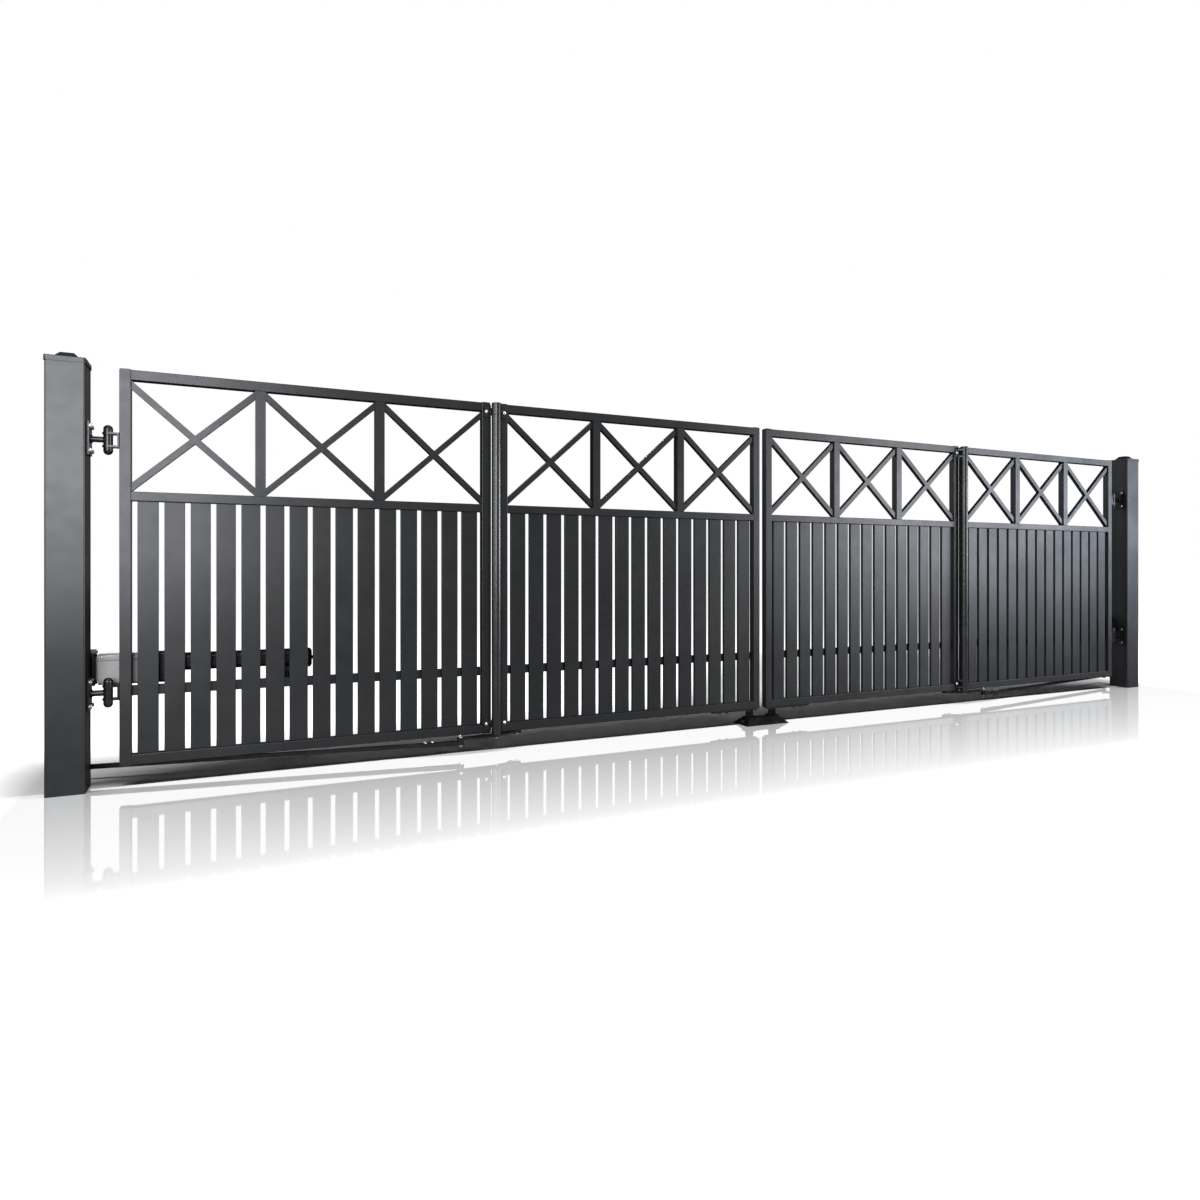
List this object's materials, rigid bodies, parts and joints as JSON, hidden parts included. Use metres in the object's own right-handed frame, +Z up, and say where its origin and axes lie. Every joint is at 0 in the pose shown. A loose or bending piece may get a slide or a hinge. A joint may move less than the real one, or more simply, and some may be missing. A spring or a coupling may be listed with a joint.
{
  "type": "bi-fold driveway gate",
  "caption": "Steel bi-fold driveway gate: folding leaf pairs with upright boards under a row of crosses, hung on capped posts, with folding rods, drives and a floor stop.",
  "frame": {"origin": "centre of the left post's foot, on the ground", "axes": "+X along the gate to the other post, +Y away from the street side, where the leaves swing, +Z up"},
  "size_m": [6.589, 0.2639, 1.673],
  "materials": {
    "frame_coat": "satin fine-texture powder coat, anthracite",
    "board_coat": "satin fine-texture powder coat, anthracite",
    "fold_coat": "satin powder coat, anthracite",
    "cap_coat": "moulded black",
    "hinge_steel": "glossy black coat",
    "bracket_steel": "black coat",
    "drive_metal": "satin cast and anodised",
    "drive_tube": "black coat",
    "stop_black": "black moulded"
  },
  "bodies": {
    "fixed": {"left_post": "frame_coat", "left_post_cap": "cap_coat", "left_post_hinges": "hinge_steel", "left_post_brackets": "bracket_steel", "right_post": "frame_coat", "right_post_cap": "cap_coat", "right_post_hinges": "hinge_steel", "right_post_brackets": "bracket_steel", "floor_stop": "stop_black"},
    "left_inner_leaf": {"left_inner_stiles": "frame_coat", "left_inner_rails": "frame_coat", "left_inner_lattice": "frame_coat", "left_inner_boards": "board_coat", "left_hinge_clevises": "hinge_steel", "left_fold_straps": "fold_coat", "left_carriage_arm": "bracket_steel"},
    "left_outer_leaf": {"left_outer_stiles": "frame_coat", "left_outer_rails": "frame_coat", "left_outer_lattice": "frame_coat", "left_outer_boards": "board_coat", "left_fold_tube": "fold_coat", "left_crank": "bracket_steel", "left_stop_legs": "bracket_steel"},
    "left_rod": {"left_control_rod": "bracket_steel"},
    "left_drive": {"left_drive_housing": "drive_metal", "left_drive_tube": "drive_tube"},
    "left_carriage": {"left_drive_carriage": "bracket_steel"},
    "right_inner_leaf": {"right_inner_stiles": "frame_coat", "right_inner_rails": "frame_coat", "right_inner_lattice": "frame_coat", "right_inner_boards": "board_coat", "right_hinge_clevises": "hinge_steel", "right_fold_straps": "fold_coat", "right_carriage_arm": "bracket_steel"},
    "right_outer_leaf": {"right_outer_stiles": "frame_coat", "right_outer_rails": "frame_coat", "right_outer_lattice": "frame_coat", "right_outer_boards": "board_coat", "right_fold_tube": "fold_coat", "right_crank": "bracket_steel", "right_stop_legs": "bracket_steel"},
    "right_rod": {"right_control_rod": "bracket_steel"},
    "right_drive": {"right_drive_housing": "drive_metal", "right_drive_tube": "drive_tube"},
    "right_carriage": {"right_drive_carriage": "bracket_steel"}
  },
  "joints": [
    {"name": "left_post_hinge", "type": "hinge", "parent": "fixed", "child": "left_inner_leaf", "pos_m": [0.131, 0, 0.37], "axis": [0, 0, 1], "range_deg": [0, 90]},
    {"name": "left_fold_hinge", "type": "hinge", "parent": "left_inner_leaf", "child": "left_outer_leaf", "pos_m": [1.6875, -0.0425, 0.1275], "axis": [0, 0, 1], "range_deg": [-180, 0]},
    {"name": "left_rod_swing", "type": "hinge", "parent": "fixed", "child": "left_rod", "pos_m": [-0.041, 0.172, 0.05], "axis": [0, 0, 1], "range_deg": [0, 90]},
    {"name": "left_drive_swing", "type": "hinge", "parent": "fixed", "child": "left_drive", "pos_m": [0.07, 0.08, 0.45], "axis": [0, 0, 1], "range_deg": [0, 92]},
    {"name": "left_carriage_slide", "type": "slide", "parent": "left_drive", "child": "left_carriage", "axis": [1, 0, 0], "range_m": [-0.141, 0]},
    {"name": "right_post_hinge", "type": "hinge", "parent": "fixed", "child": "right_inner_leaf", "pos_m": [6.322, 0, 0.37], "axis": [0, 0, -1], "range_deg": [0, 90]},
    {"name": "right_fold_hinge", "type": "hinge", "parent": "right_inner_leaf", "child": "right_outer_leaf", "pos_m": [4.7655, -0.0425, 0.1275], "axis": [0, 0, -1], "range_deg": [-180, 0]},
    {"name": "right_rod_swing", "type": "hinge", "parent": "fixed", "child": "right_rod", "pos_m": [6.494, 0.172, 0.05], "axis": [0, 0, -1], "range_deg": [0, 90]},
    {"name": "right_drive_swing", "type": "hinge", "parent": "fixed", "child": "right_drive", "pos_m": [6.383, 0.08, 0.45], "axis": [0, 0, -1], "range_deg": [0, 92]},
    {"name": "right_carriage_slide", "type": "slide", "parent": "right_drive", "child": "right_carriage", "axis": [-1, 0, 0], "range_m": [-0.141, 0]}
  ],
  "couplings": [
    {"joint": "left_fold_hinge", "follows": "left_post_hinge", "ratio": -2},
    {"joint": "left_rod_swing", "follows": "left_post_hinge", "ratio": 1},
    {"joint": "left_drive_swing", "follows": "left_post_hinge", "ratio": 1.0212},
    {"joint": "left_carriage_slide", "follows": "left_post_hinge", "m_per_rad": -0.089562},
    {"joint": "right_fold_hinge", "follows": "right_post_hinge", "ratio": -2},
    {"joint": "right_rod_swing", "follows": "right_post_hinge", "ratio": 1},
    {"joint": "right_drive_swing", "follows": "right_post_hinge", "ratio": 1.0212},
    {"joint": "right_carriage_slide", "follows": "right_post_hinge", "m_per_rad": -0.089562}
  ]
}
